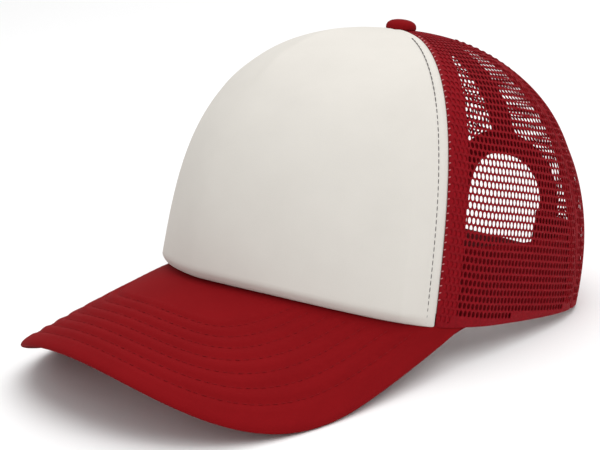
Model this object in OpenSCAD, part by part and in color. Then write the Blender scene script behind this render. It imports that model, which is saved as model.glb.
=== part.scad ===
// Five-panel trucker cap: a foam-backed front, four mesh panels, a curved visor and a plastic snap strap.
// The cap is drawn with its head opening level and is then tipped back until it stands by itself
// on the two drooping sides of the visor and on the rear rim. The visor points to -Y, the wearer's left is +X.

/* [Crown] */
// Half of the crown's width, over the ears
crown_half_width = 81.5; // [78:0.5:86]
// From the middle of the head to the front of the rim
crown_front = 101; // [96:0.5:108]
// From the middle of the head to the back of the rim
crown_back = 88; // [84:0.5:94]
// Height of the crown under the button
crown_height = 116; // [105:1:125]
// How far the back swells out over the rear rim
back_swell = 11.5; // [6:0.5:14]
// How far the button sits behind the middle of the head
button_set_back = 6; // [0:0.5:12]
// How far the foam front puffs out above the visor
front_puff = 4.5; // [2:0.5:6]
// Half of the angle that the front panel takes up, seen from above
front_panel_angle = 68; // [62:1:72]
// Angle of the seam between the side and rear mesh panels, counted from the front
side_seam_angle = 128; // [120:1:134]

/* [Layers] */
// Thickness of the front panel's outer cloth
cover_thickness = 0.6; // [0.5:0.1:0.8]
// Thickness of the front panel's foam
foam_thickness = 2.9; // [2:0.1:3]
// Thickness of the mesh
mesh_thickness = 0.8; // [0.6:0.1:0.9]
// Width of the tapes over the side and rear seams
tape_width = 15; // [10:1:18]
// Height of the sweatband
sweatband_height = 33; // [28:1:38]

/* [Rear opening] */
// Half of the opening's width between the mesh edges
opening_half_width = 25; // [23:0.5:30]
// Height of the opening's top above the middle of the rim
opening_height = 59; // [54:1:66]
// Width of the binding tape around the opening
binding_width = 10; // [8:0.5:12]

/* [Visor] */
// Length of the visor at its middle
visor_length = 66; // [60:1:74]
// Half of the visor's width at its widest
visor_half_width = 85; // [82:0.5:90]
// Radius that the visor is bent to
visor_bend_radius = 102; // [98:1:120]
// Downward slope of the visor's middle line, in degrees
visor_slope = 21; // [16:1:24]
// Thickness of the plastic board in the visor
board_thickness = 1.8; // [1.4:0.1:2.2]
// Thickness of each of the visor's two covers
visor_cover_thickness = 0.8; // [0.6:0.1:1]
// Number of stitched rows on the visor
stitch_rows = 7; // [4:1:8]

/* [Snap strap] */
// Height of the two straps
strap_height = 15; // [13:0.5:16]
// Thickness of the straps
strap_thickness = 1.2; // [1:0.1:1.3]
// Distance from one snap hole to the next
snap_pitch = 7; // [6.5:0.1:7.5]
// Number of snap holes
snap_holes = 5; // [3:1:5]
// Radius of a snap stud
stud_radius = 1.7; // [1.4:0.1:1.8]

/* [Button] */
// Radius of the covered button on top
button_radius = 7; // [6.5:0.1:8]

/* [Hidden] */
$fn = 48;
cloth_white = [0.94, 0.92, 0.89];
cloth_red = [0.53, 0.10, 0.12];
mesh_red = [0.55, 0.14, 0.17];
thread_grey = [0.45, 0.43, 0.43];
plastic_red = [0.50, 0.08, 0.10];
metal = [0.75, 0.75, 0.76];

// Roundness of the crown's outline seen from above: 2 is an ellipse, more is boxier.
plan_front = 1.8;
plan_rear_low = 3.8;
plan_rear_high = 2.9;
// Roundness of the crown's upright outline, as the powers of its width and of its height.
width_power = [2.75, 2.4, 2.3];
height_power = [3.1, 2.6, 2.2];
swell_middle = 0.7;
rim_front_height = 4;
rim_rear_height = 1;
visor_dip = 2.5;
visor_end_angle = 77.5;
top_angle = 89;
// Share of the height over which the back's plan changes from its low to its high roundness.
plan_change = 0.6;
// The front puffs out within the first share of its height and is flush again at the second one,
// and the puff dies away over the last degrees before the front seams.
puff_onset = 0.035;
puff_end = 0.7;
puff_fade = 12;
// Distance from the rim over which the visor dips by visor_dip.
dip_reach = 70;
// The visor is never wider than this share of its bend radius.
bend_share = 0.98;
layer_gap = 0.1;
// Gap between the mesh and what lies against it, which follows curves with other facets.
mesh_gap = 0.35;
// Gap on each side of the visor's board.
board_gap = 0.2;
seam_gap = 0.15;
stitch_radius = 0.3;
tape_thickness = 0.6;
binding_leaf = 0.7;
// How far the opening's binding stands over the crown's outer surface.
binding_stand = mesh_gap + binding_leaf;

// Depth of each layer under the crown's outer surface.
foam_top = cover_thickness + layer_gap;
foam_bottom = foam_top + foam_thickness;
tape_top = mesh_thickness + mesh_gap;
tape_bottom = tape_top + tape_thickness;
hole_strap_top = tape_bottom + 0.3;
hole_strap_bottom = hole_strap_top + strap_thickness;
stud_strap_top = hole_strap_bottom + layer_gap;
stud_strap_bottom = stud_strap_top + strap_thickness;
sweatband_top = max(foam_bottom, stud_strap_bottom) + 0.3;
sweatband_bottom = sweatband_top + 1.4;
visor_half_thickness = board_thickness / 2 + board_gap + visor_cover_thickness;
// How far the visor's top face lies under the crown's rim.
visor_drop = 0.3;

// ---- crown surface ----

function signed_power(v, e) = sign(v) * pow(abs(v), e);
function front_part(a) = pow(max(cos(a), 0), 2);
function rear_part(a) = pow(max(-cos(a), 0), 2);
// Blends a front, side and rear value by the direction a, which is 0 at the front and 180 at the back.
function blended(v, a) = v[0] * front_part(a) + v[2] * rear_part(a) + v[1] * (1 - front_part(a) - rear_part(a));
function plan_power(a, t) =
    cos(a) > 0 ? plan_front : plan_rear_low + (plan_rear_high - plan_rear_low) * min(t / plan_change, 1);
function swell_at(t) =
    let (span = t < swell_middle ? swell_middle : 1 - swell_middle) 1 - pow((t - swell_middle) / span, 2);
function plan_length(a, t) = cos(a) > 0 ? crown_front : crown_back + back_swell * swell_at(t);
function plan_radius(a, t) =
    let (p = plan_power(a, t))
    pow(pow(abs(cos(a)) / plan_length(a, t), p) + pow(abs(sin(a)) / crown_half_width, p), -1 / p);
function smooth(t) = t * t * (3 - 2 * t);

// Height of the visor's top face at a place in plan.
function visor_top(x, y) =
    let (out = y + crown_front, side = min(abs(x), visor_bend_radius * bend_share))
    rim_front_height + out * tan(visor_slope) - visor_dip * pow(out / dip_reach, 2)
    - visor_bend_radius + sqrt(pow(visor_bend_radius, 2) - side * side);
function rim_plan(a) = plan_radius(a, 0) * [sin(a), -cos(a)];
function rim_height(a) =
    let (turn = abs(a), near = rim_plan(min(turn, visor_end_angle)), low = visor_top(near.x, near.y))
    turn <= visor_end_angle ? low
    : low + (rim_rear_height - low) * smooth((turn - visor_end_angle) / (180 - visor_end_angle));

// A point of the crown in direction a, at rise f from 0 at the rim to 90 at the top, moved outward by out.
function crown_point(a, f, out = 0, puff = 0) =
    let (
        n = blended(width_power, a), m = blended(height_power, a),
        w = pow(cos(f), 2 / n), t = pow(sin(f), 2 / m),
        p = plan_power(a, t), r = plan_radius(a, t), low = rim_height(a), tall = crown_height - low,
        flat = [signed_power(r * sin(a) / crown_half_width, p - 1) / crown_half_width,
            signed_power(-r * cos(a) / plan_length(a, t), p - 1) / plan_length(a, t)] * n * pow(w, n - 1),
        raw = [flat.x, flat.y, m * pow(t, m - 1) / tall],
        normal = raw / norm(raw),
        puffed = r * w + puff * puff_at(a, t)
    )
    [puffed * sin(a), -puffed * cos(a) + button_set_back * t * t, low + tall * t] + normal * out;
function puff_at(a, t) =
    sqrt(min(t / puff_onset, 1)) * max(1 - t / puff_end, 0)
    * min(max((front_panel_angle - abs(a)) / puff_fade, 0), 1);
// The rise at which direction a reaches the height h.
function rise_at(a, h) =
    let (low = rim_height(a), t = max(h - low, 0) / (crown_height - low))
    asin(min(pow(t, blended(height_power, a) / 2), 1));
// The direction in which the back of the crown is x to the side at height h, found in a few turns.
function rear_direction(x, h, guess = 170, turns = 5) =
    turns == 0 ? guess
    : let (
        f = rise_at(guess, h),
        p = crown_point(guess, f),
        t = pow(sin(f), 2 / blended(height_power, guess))
    )
    rear_direction(x, h, 180 - atan2(x, p.y - button_set_back * t * t), turns - 1);
// A point of the back of the crown, x to the side, at height h.
function rear_point(x, h, out) =
    let (a = rear_direction(abs(x), h)) crown_point(x < 0 ? -a : a, rise_at(a, h), out);

// ---- outlines on the crown ----

arch_foot_height = 30;
arch_power = 2.4;
function arch_half_width(h) =
    let (share = max(h - arch_foot_height, 0) / (opening_height - arch_foot_height))
    opening_half_width * pow(max(1 - pow(share, arch_power), 0), 1 / arch_power);
opening_rise = rise_at(180, opening_height);
low_rows = 8;
high_rows = 12;
rows = [
    for (i = [0 : low_rows - 1]) opening_rise * i / low_rows,
    for (i = [0 : high_rows]) opening_rise + (top_angle - opening_rise) * i / high_rows
];
function height_at(f) = crown_point(180, f).z;
// Where the rear mesh ends on the row at rise f: at the rear seam, or at the opening's edge below its top.
function rear_edge(f) =
    let (h = height_at(f)) h >= opening_height - 0.01 ? 180 - seam_gap : rear_direction(arch_half_width(h), h);

// ---- solids from grids of points ----

// A closed sheet between two grids of points. Each grid is a list of rows, and the outer one is seen
// with its first row at the bottom and its columns running to the left.
module sheet(outer, inner) {
    rows_n = len(outer);
    cols_n = len(outer[0]);
    count = rows_n * cols_n;
    points = [for (row = outer) each row, for (row = inner) each row];
    function at(side, i, j) = side * count + i * cols_n + j;
    function two(a, b, c, d) = [[a, b, c], [a, c, d]];
    faces = [
        for (i = [0 : rows_n - 2], j = [0 : cols_n - 2]) each concat(
            two(at(0, i, j), at(0, i, j + 1), at(0, i + 1, j + 1), at(0, i + 1, j)),
            two(at(1, i, j), at(1, i + 1, j), at(1, i + 1, j + 1), at(1, i, j + 1))),
        for (i = [0 : rows_n - 2]) each concat(
            two(at(0, i, 0), at(0, i + 1, 0), at(1, i + 1, 0), at(1, i, 0)),
            two(at(0, i, cols_n - 1), at(1, i, cols_n - 1),
                at(1, i + 1, cols_n - 1), at(0, i + 1, cols_n - 1))),
        for (j = [0 : cols_n - 2]) each concat(
            two(at(0, 0, j), at(1, 0, j), at(1, 0, j + 1), at(0, 0, j + 1)),
            two(at(0, rows_n - 1, j), at(0, rows_n - 1, j + 1),
                at(1, rows_n - 1, j + 1), at(1, rows_n - 1, j)))
    ];
    polyhedron(points, faces);
}

// A solid rod through a list of closed sections with the same number of points.
module rod(sections) {
    n = len(sections);
    k = len(sections[0]);
    points = [for (s = sections) each s];
    faces = [
        [for (j = [0 : k - 1]) j],
        [for (j = [0 : k - 1]) (n - 1) * k + k - 1 - j],
        for (i = [0 : n - 2], j = [0 : k - 1]) let (here = i * k, up = here + k, next = (j + 1) % k)
            each [[here + j, up + j, up + next], [here + j, up + next, here + next]]
    ];
    polyhedron(points, faces);
}

// A thread or cord of the given radius along a list of points.
module thread(path, radius, sides = 4) {
    last = len(path) - 1;
    rod([for (i = [0 : last])
        let (
            run = path[min(i + 1, last)] - path[max(i - 1, 0)],
            along = run / norm(run),
            help = abs(along.z) > 0.8 ? [0, 1, 0] : [0, 0, 1],
            raw = cross(help, along),
            across = raw / norm(raw),
            upward = cross(along, across)
        )
        [for (k = [0 : sides - 1]) path[i]
            + radius * (across * cos(360 * (k + 0.5) / sides) + upward * sin(360 * (k + 0.5) / sides))]
    ]);
}

// A strip of crown between two depths. Each row of the list is a rise, with its own directions in edges.
module crown_strip(edges, depth, row_list, puff = 0) {
    function grid(d) = [for (i = [0 : len(row_list) - 1])
        [for (a = edges[i]) crown_point(a, row_list[i], -d, puff)]];
    sheet(grid(depth[0]), grid(depth[1]));
}

function steps(from, to, n) = [for (i = [0 : n]) from + (to - from) * i / n];
module mirrored(side) {
    if (side > 0) children();
    else mirror([1, 0, 0]) children();
}

// ---- visor surface ----

// A cubic curve through four control points.
function curve(p, t) =
    pow(1 - t, 3) * p[0] + 3 * pow(1 - t, 2) * t * p[1] + 3 * (1 - t) * t * t * p[2] + pow(t, 3) * p[3];
visor_tip = [0, -crown_front - visor_length];
visor_corner = [visor_half_width, -crown_front + 18];
visor_end = rim_plan(visor_end_angle);
front_curve = [visor_tip, visor_tip + [50, 0], visor_corner + [0, -61], visor_corner];
side_curve = [visor_corner, visor_corner + [0, 15], visor_end + [3, -20], visor_end];
front_share = 0.62;
// The visor's outer edge at u, from 0 at the middle to 1 at its end.
function visor_edge(u) = u < front_share ? curve(front_curve, u / front_share)
    : curve(side_curve, (u - front_share) / (1 - front_share));
// A point over the plan place, out above the middle of the visor's board.
function visor_at(place, out) =
    let (
        side = min(abs(place.x), visor_bend_radius * bend_share) * sign(place.x),
        steep = side / sqrt(pow(visor_bend_radius, 2) - side * side),
        raw = [steep, -tan(visor_slope), 1]
    )
    [place.x, place.y, visor_top(place.x, place.y)]
    + raw / norm(raw) * (out - visor_half_thickness - visor_drop);
visor_tuck = 0.5;
// The same at u across, from -1 to 1, and v out, from 0 just under the crown to 1 at the visor's edge.
function visor_point(u, v, out) =
    let (
        inner = rim_plan(abs(u) * visor_end_angle),
        tuck = inner * (1 - visor_tuck / norm(inner)),
        half = tuck + (visor_edge(abs(u)) - tuck) * v
    )
    visor_at([u < 0 ? -half.x : half.x, half.y], out);

// ---- standing pose ----

visor_edge_points = [for (i = [0 : 40]) visor_point(i / 40, 1, -visor_cover_thickness)];
rear_rim_points = [for (a = [120 : 5 : 180]) crown_point(a, 0)];
function lowest(points, tip) = min([for (p = points) p.z * cos(tip) - p.y * sin(tip)]);
// The angle at which the visor's sides and the rear rim are equally low, by halving.
function standing_tip(low = 0, high = 25, turns = 24) =
    let (mid = (low + high) / 2)
    turns == 0 ? mid
    : lowest(visor_edge_points, mid) < lowest(rear_rim_points, mid) ? standing_tip(mid, high, turns - 1)
    : standing_tip(low, mid, turns - 1);
tip = standing_tip();
floor_height = lowest(visor_edge_points, tip);
function tipped_y(p) = p.y * cos(tip) + p.z * sin(tip);
front_end = min([for (p = visor_edge_points) tipped_y(p)]);
back_end = max([for (f = [0 : 2 : 60]) tipped_y(crown_point(180, f, binding_stand))]);
module standing() {
    translate([0, -(front_end + back_end) / 2, -floor_height]) rotate([-tip, 0, 0]) children();
}

// ---- front panel ----

front_rows = concat([0, 1.5, 3.5], [for (i = [1 : 12]) top_angle * (0.06 + 0.94 * sin(90 * i / 12))]);
front_columns = steps(-front_panel_angle + seam_gap, front_panel_angle - seam_gap, 22);
module front_layer(depth) {
    crown_strip([for (f = front_rows) front_columns], depth, front_rows, front_puff);
}
module front_cover() {
    color(cloth_white) standing() front_layer([0, cover_thickness]);
}
module front_foam() {
    color(cloth_white) standing() front_layer([foam_top, foam_bottom]);
}

// Two lines of stitches, one along each side of the front panel.
module front_topstitching() {
    inset = 5;
    color(thread_grey) standing() for (side = [-1, 1])
        thread([for (f = [2 : 4 : 78])
            let (reach = norm([crown_point(front_panel_angle, f).x, crown_point(front_panel_angle, f).y]),
                a = front_panel_angle - asin(inset / reach))
            crown_point(side * a, f, stitch_radius + layer_gap, front_puff)], stitch_radius);
}

// ---- mesh panels ----

module mesh_side(side) {
    edges = [for (f = rows) steps(front_panel_angle + seam_gap, side_seam_angle - seam_gap, 8)];
    color(mesh_red) standing() mirrored(side) crown_strip(edges, [0, mesh_thickness], rows);
}
module mesh_rear(side) {
    edges = [for (f = rows) steps(side_seam_angle + seam_gap, rear_edge(f), 8)];
    color(mesh_red) standing() mirrored(side) crown_strip(edges, [0, mesh_thickness], rows);
}
module mesh_side_left() { mesh_side(1); }
module mesh_side_right() { mesh_side(-1); }
module mesh_rear_left() { mesh_rear(1); }
module mesh_rear_right() { mesh_rear(-1); }

// ---- seam tapes, inside the mesh ----

tape_first = 2;
tape_last = 80;
// The tapes bend at the same rises as the mesh.
function tape_rows_from(first) =
    [first, for (f = rows) if (f > first + 1 && f < tape_last - 1) f, tape_last];
tape_rows = tape_rows_from(tape_first);
front_tape_share = 0.65;
// Angle that a width takes up on the crown in direction a at rise f.
function turn_of(width, a, f) =
    let (p = crown_point(a, f)) min(2 * asin(min(width / 2 / norm([p.x, p.y]), 1)), 50);
module front_seam_tape(side) {
    width = tape_width * front_tape_share;
    start = front_panel_angle + 2 * seam_gap;
    edges = [for (f = tape_rows) steps(start, start + turn_of(width, start, f), 2)];
    color(cloth_red) standing() mirrored(side) crown_strip(edges, [tape_top, tape_bottom], tape_rows);
}
module side_seam_tape(side) {
    edges = [for (f = tape_rows) let (half = turn_of(tape_width, side_seam_angle, f) / 2)
        steps(side_seam_angle - half, side_seam_angle + half, 2)];
    color(cloth_red) standing() mirrored(side) crown_strip(edges, [tape_top, tape_bottom], tape_rows);
}
module front_seam_tape_left() { front_seam_tape(1); }
module front_seam_tape_right() { front_seam_tape(-1); }
module side_seam_tape_left() { side_seam_tape(1); }
module side_seam_tape_right() { side_seam_tape(-1); }

// The rear tape ends above the binding of the opening.
module rear_seam_tape() {
    row_list = tape_rows_from(rise_at(180, opening_height + binding_width + 1));
    edges = [for (f = row_list) let (half = turn_of(tape_width, 180, f) / 2) steps(180 - half, 180 + half, 4)];
    color(cloth_red) standing() crown_strip(edges, [tape_top, tape_bottom], row_list);
}

// ---- binding of the rear opening ----

// Half of the opening's outline as [sideways, height], from its foot at the rim to its top.
arch_height = opening_height - arch_foot_height;
function arch_place(q) = [opening_half_width * pow(cos(q), 2 / arch_power),
    arch_foot_height + arch_height * pow(sin(q), 2 / arch_power)];
half_outline = concat([for (h = [rim_rear_height + 0.4, 9, 17, 24]) [opening_half_width, h]],
    [for (q = [0 : 9 : 81]) arch_place(q)]);
mirrored_half = [for (i = [len(half_outline) - 1 : -1 : 0]) [-half_outline[i].x, half_outline[i].y]];
outline = concat(half_outline, [[0, opening_height]], mirrored_half);
module rear_opening_binding() {
    last = len(outline) - 1;
    fold = 1;
    slot = 0.3;
    half_way = binding_width / 2;
    out = binding_stand;
    in = tape_bottom;
    // Each pair is the distance from the mesh edge into the panel, and the height over its outer surface.
    shape = [[binding_width, out], [half_way, out], [-fold, out],
        [-fold, -in], [half_way, -in], [binding_width, -in],
        [binding_width, -tape_top], [half_way, -tape_top], [-slot, -tape_top],
        [-slot, mesh_gap], [half_way, mesh_gap], [binding_width, mesh_gap]];
    color(cloth_red) standing() rod([for (i = [0 : last])
        let (
            run = outline[min(i + 1, last)] - outline[max(i - 1, 0)],
            away = [run.y, -run.x] / norm(run)
        )
        [for (s = shape) let (q = outline[i] + away * s[0]) rear_point(q.x, q.y, s[1])]
    ]);
}

// ---- sweatband ----

sweatband_end = rear_direction(opening_half_width + 1, 10);
sweatband_columns = steps(-sweatband_end, sweatband_end, 44);
module sweatband() {
    levels = [0.6, sweatband_height / 2, sweatband_height];
    function grid(d) = [for (v = levels) [for (a = sweatband_columns)
        crown_point(a, rise_at(a, rim_height(a) + v), -d)]];
    color(cloth_red) standing() sheet(grid(sweatband_top), grid(sweatband_bottom));
}
module sweatband_edging() {
    radius = 1.1;
    middle = (sweatband_top + sweatband_bottom) / 2;
    color(cloth_red) standing() thread([for (a = sweatband_columns)
        crown_point(a, rise_at(a, rim_height(a) + sweatband_height + radius + layer_gap), -middle)], radius, 6);
}

// ---- button ----

button_rise = 4.6;
module at_button() {
    standing() translate([0, button_set_back, crown_height]) children();
}
// A flattened dome: radius r, height h, standing on the height base.
module dome(r, h, base) {
    rotate_extrude() intersection() {
        translate([0, base]) scale([1, h / r]) circle(r);
        translate([0, base]) square([r, h]);
    }
}
module button_cover() {
    color(cloth_red) at_button() difference() {
        dome(button_radius, button_rise, 0.3);
        dome(button_radius - 0.6, button_rise - 0.6, 0.2);
    }
}
module button_shell() {
    color(metal) at_button() difference() {
        dome(button_radius - 0.7, button_rise - 0.8, 0.35);
        dome(button_radius - 1.3, button_rise - 1.4, 0.3);
    }
}
// The rivet holds the button from inside: a stem under the shell and a washer below the panels.
module button_rivet() {
    stem_radius = 1.5;
    washer_radius = 6;
    washer_drop = foam_bottom + 0.9;
    color(metal) at_button() union() {
        translate([0, 0, -washer_drop]) cylinder(r = stem_radius, h = washer_drop + button_rise - 1.3);
        translate([0, 0, -washer_drop - 0.8]) cylinder(r = washer_radius, h = 0.8);
    }
}

// ---- visor ----

visor_across = [for (i = [-18 : 18]) sin(5 * i)];
visor_out = [0, 0.15, 0.3, 0.45, 0.6, 0.75, 0.87, 0.94, 0.98, 1];
// The covers close round the board's edge: the height falls off on a quarter circle over the last stretch.
edge_start = 0.94;
function rounded(v) = v < edge_start ? 1 : sqrt(1 - pow((v - edge_start) / (1 - edge_start), 2));
function visor_grid(side, height, inset, lift = 0) = [for (v = visor_out) [for (u = visor_across)
    visor_point(side * u, v * inset, side * max(height * rounded(v), lift))]];
// The board reaches this share of the covers' length, and its edge keeps this share of its thickness.
board_reach = 0.97;
board_edge = 0.8;
// Height at which the covers' outer and inner faces meet the middle of the edge.
cover_edge = [0.35, 0.05];
module visor_board() {
    half = board_thickness / 2;
    color(plastic_red) standing() sheet(
        visor_grid(1, half, board_reach, half * board_edge),
        [for (v = visor_out) [for (u = visor_across)
            visor_point(u, v * board_reach, -half * max(rounded(v), board_edge))]]);
}
module visor_cover(side) {
    inner_height = board_thickness / 2 + board_gap;
    color(cloth_red) standing() sheet(
        visor_grid(side, visor_half_thickness, 1, cover_edge[0]),
        visor_grid(side, inner_height, 1, cover_edge[1]));
}
module visor_top_cover() { visor_cover(1); }
module visor_under_cover() { visor_cover(-1); }
// Rows of stitches that run beside the visor's edge and end at the rim, the outermost one first.
first_row_inset = 8;
row_spacing = 5.5;
function edge_turn(u) =
    let (run = visor_edge(min(u + 0.01, 1)) - visor_edge(u - 0.01)) [-run.y, run.x] / norm(run);
function beside_edge(u, inset) =
    let (p = visor_edge(abs(u)) + edge_turn(abs(u)) * inset) [u < 0 ? -p.x : p.x, p.y];
function outside_rim(p, gap) = norm(p) > plan_radius(atan2(abs(p.x), -p.y), 0) + gap;
module visor_stitching() {
    height = visor_half_thickness + stitch_radius + layer_gap;
    color(cloth_red) standing() for (row = [0 : stitch_rows - 1])
        let (places = [for (i = [-48 : 3 : 48]) beside_edge(i / 50, first_row_inset + row * row_spacing)])
        thread([for (p = places) if (outside_rim(p, 1.5)) visor_at(p, height)], stitch_radius);
}

// ---- snap strap ----

hinge_side = opening_half_width - 3;
strap_foot = rim_rear_height + 0.6;
strap_low = rear_point(hinge_side, strap_foot, 0);
strap_high = rear_point(hinge_side, strap_foot + strap_height, 0);
strap_lean = atan2(strap_high.y - strap_low.y, strap_high.z - strap_low.z);
hinge_gap = 0.3;
strap_tip = snap_pitch * (snap_holes - 1) / 2 + strap_height / 2 - 1.5;
// The straps lie flat across the opening. Here x is sideways, y is up the strap and z is outward.
module on_strap() {
    translate([0, strap_low.y, strap_low.z]) rotate([90 - strap_lean, 0, 0]) mirror([0, 0, 1]) children();
}
// The flat outline: straight at the hinge and round at the free end.
module strap_blank(depth) {
    half = strap_height / 2;
    round_at = strap_tip - half;
    translate([0, 0, -depth - strap_thickness]) linear_extrude(strap_thickness) union() {
        translate([-round_at, 0]) square([hinge_side + round_at, strap_height]);
        translate([-round_at, half]) circle(half);
    }
    translate([hinge_side, 0, -depth - strap_thickness / 2]) rotate([-90, 0, 0])
        cylinder(r = strap_thickness / 2, h = strap_height);
}
module hole_strap() {
    color(plastic_red) standing() on_strap() difference() {
        strap_blank(hole_strap_top);
        for (i = [0 : snap_holes - 1])
            translate([(i - (snap_holes - 1) / 2) * snap_pitch, strap_height / 2, -hole_strap_bottom - 1])
                cylinder(r = stud_radius + 0.5, h = strap_thickness + 2);
    }
}
module stud_strap() {
    color(plastic_red) standing() on_strap() union() {
        mirror([1, 0, 0]) strap_blank(stud_strap_top);
        for (i = [0 : snap_holes - 1])
            translate([(i - (snap_holes - 1) / 2) * snap_pitch, strap_height / 2, -stud_strap_top - 0.2])
                cylinder(r = stud_radius, h = strap_thickness + 1.2);
    }
}
// The sewn end of a strap, between the mesh and the sweatband.
module strap_tail(side, depth) {
    near = hinge_side + strap_thickness / 2 + hinge_gap;
    sideways = steps(near, near + 20, 6);
    levels = steps(strap_foot, strap_foot + strap_height * cos(strap_lean), 3);
    function grid(d) = [for (h = levels) [for (i = [6 : -1 : 0]) rear_point(sideways[i], h, -d)]];
    color(plastic_red) standing() mirrored(side) sheet(grid(depth), grid(depth + strap_thickness));
}
module strap_tail_left() { strap_tail(1, hole_strap_top); }
module strap_tail_right() { strap_tail(-1, stud_strap_top); }
// Dense upright stitches that hold the strap ends, over the binding.
module strap_bartacks() {
    color(thread_grey) standing() for (side = [-1, 1], x = [2, 8])
        thread([for (h = [3, 7, 11, 14]) rear_point(side * (opening_half_width + x), h,
            binding_stand + layer_gap + stitch_radius)], stitch_radius);
}

front_cover();
front_foam();
mesh_side_left();
mesh_side_right();
mesh_rear_left();
mesh_rear_right();
front_seam_tape_left();
front_seam_tape_right();
side_seam_tape_left();
side_seam_tape_right();
rear_seam_tape();
rear_opening_binding();
sweatband();
sweatband_edging();
button_cover();
button_shell();
button_rivet();
visor_board();
visor_top_cover();
visor_under_cover();
visor_stitching();
front_topstitching();
strap_tail_left();
strap_tail_right();
hole_strap();
stud_strap();
strap_bartacks();
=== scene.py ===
import math

import bpy
import numpy as np
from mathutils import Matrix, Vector


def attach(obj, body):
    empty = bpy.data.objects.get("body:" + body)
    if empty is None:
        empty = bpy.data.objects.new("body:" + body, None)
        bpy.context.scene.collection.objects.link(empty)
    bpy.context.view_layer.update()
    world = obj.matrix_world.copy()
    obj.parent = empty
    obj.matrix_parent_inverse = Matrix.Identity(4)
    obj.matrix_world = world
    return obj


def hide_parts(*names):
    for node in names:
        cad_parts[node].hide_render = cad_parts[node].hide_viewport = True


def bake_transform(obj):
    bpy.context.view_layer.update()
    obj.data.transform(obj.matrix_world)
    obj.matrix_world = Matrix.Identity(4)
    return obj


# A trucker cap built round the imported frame. Shapes are worked out in millimetres in the level cap frame,
# with the head opening flat, the visor to -Y and the wearer's left at +X. stand() then tips them back
# and turns them into the frame's metres.

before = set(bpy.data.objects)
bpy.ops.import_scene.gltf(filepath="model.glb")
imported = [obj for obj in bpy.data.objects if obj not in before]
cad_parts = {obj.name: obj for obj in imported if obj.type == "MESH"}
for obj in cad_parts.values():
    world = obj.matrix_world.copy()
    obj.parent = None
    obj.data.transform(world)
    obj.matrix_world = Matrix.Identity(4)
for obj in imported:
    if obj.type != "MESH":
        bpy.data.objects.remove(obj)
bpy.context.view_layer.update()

# ---- sizes, the same as the frame's ----
HALF_WIDTH = 81.5
CROWN_FRONT = 101
CROWN_BACK = 88
CROWN_HEIGHT = 116
BACK_SWELL = 11.5
BUTTON_SET_BACK = 6
FRONT_PUFF = 4.5
FRONT_ANGLE = 68
SIDE_ANGLE = 128
COVER = 0.6
FOAM = 2.9
MESH = 0.8
TAPE_WIDTH = 15
FRONT_TAPE_WIDTH = 9.75
SWEATBAND_HEIGHT = 33
OPENING_HALF_WIDTH = 25
OPENING_HEIGHT = 59
BINDING_WIDTH = 10
VISOR_LENGTH = 66
VISOR_HALF_WIDTH = 85
BEND_RADIUS = 102
VISOR_SLOPE = 21
BOARD = 1.8
VISOR_COVER = 0.8
STITCH_ROWS = 7
STRAP_HEIGHT = 15
STRAP = 1.2
SNAP_PITCH = 7
SNAP_HOLES = 5
STUD_RADIUS = 1.7
BUTTON_RADIUS = 7
BUTTON_RISE = 4.6

PLAN_FRONT, PLAN_REAR_LOW, PLAN_REAR_HIGH = 1.8, 3.8, 2.9
WIDTH_POWER = (2.75, 2.4, 2.3)
HEIGHT_POWER = (3.1, 2.6, 2.2)
PLAN_CHANGE = 0.6
SWELL_MIDDLE = 0.7
RIM_FRONT, RIM_REAR = 4, 1
PUFF_ONSET, PUFF_END, PUFF_FADE = 0.035, 0.7, 12
VISOR_DIP, DIP_REACH = 2.5, 70
VISOR_END_ANGLE = 77.5
BEND_SHARE = 0.98
TOP_ANGLE = 89
LAYER_GAP = 0.1
MESH_GAP = 0.35
BOARD_GAP = 0.2
VISOR_DROP = 0.3
VISOR_TUCK = 0.5
SEAM_GAP = 0.15
ARCH_FOOT, ARCH_POWER = 30, 2.4
FIRST_ROW, ROW_SPACING = 8, 5.5
FRONT_SHARE = 0.62
TAPE = 0.6

FOAM_TOP = COVER + LAYER_GAP
FOAM_BOTTOM = FOAM_TOP + FOAM
TAPE_TOP = MESH + MESH_GAP
TAPE_BOTTOM = TAPE_TOP + TAPE
HOLE_STRAP_TOP = TAPE_BOTTOM + 0.3
STUD_STRAP_TOP = HOLE_STRAP_TOP + STRAP + LAYER_GAP
SWEATBAND_TOP = STUD_STRAP_TOP + STRAP + 0.3
BAND = 1.4
VISOR_HALF = BOARD / 2 + BOARD_GAP + VISOR_COVER
BINDING_STAND = MESH_GAP + 0.7


# ---- the crown's surface ----

def sind(a):
    return np.sin(np.radians(a))


def cosd(a):
    return np.cos(np.radians(a))


UP = np.array([0.0, 0.0, 1.0])


def stacked(*parts):
    """Arrays as the last axis of one array, spread to a common shape."""
    return np.stack(np.broadcast_arrays(*parts), -1)


def signed_power(v, e):
    return np.sign(v) * np.abs(v) ** e


def unit(v):
    return v / np.maximum(np.linalg.norm(v, axis=-1, keepdims=True), 1e-12)


def smooth(t):
    t = np.clip(t, 0, 1)
    return t * t * (3 - 2 * t)


def blended(values, a):
    """Blends a front, side and rear value by the direction a: 0 is the front and 180 the back."""
    front = np.maximum(cosd(a), 0) ** 2
    rear = np.maximum(-cosd(a), 0) ** 2
    return values[0] * front + values[2] * rear + values[1] * (1 - front - rear)


def plan_power(a, t):
    rear = PLAN_REAR_LOW + (PLAN_REAR_HIGH - PLAN_REAR_LOW) * np.minimum(t / PLAN_CHANGE, 1)
    return np.where(cosd(a) > 0, PLAN_FRONT, rear)


def plan_length(a, t):
    span = np.where(t < SWELL_MIDDLE, SWELL_MIDDLE, 1 - SWELL_MIDDLE)
    back = CROWN_BACK + BACK_SWELL * (1 - ((t - SWELL_MIDDLE) / span) ** 2)
    return np.where(cosd(a) > 0, CROWN_FRONT, back)


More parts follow.
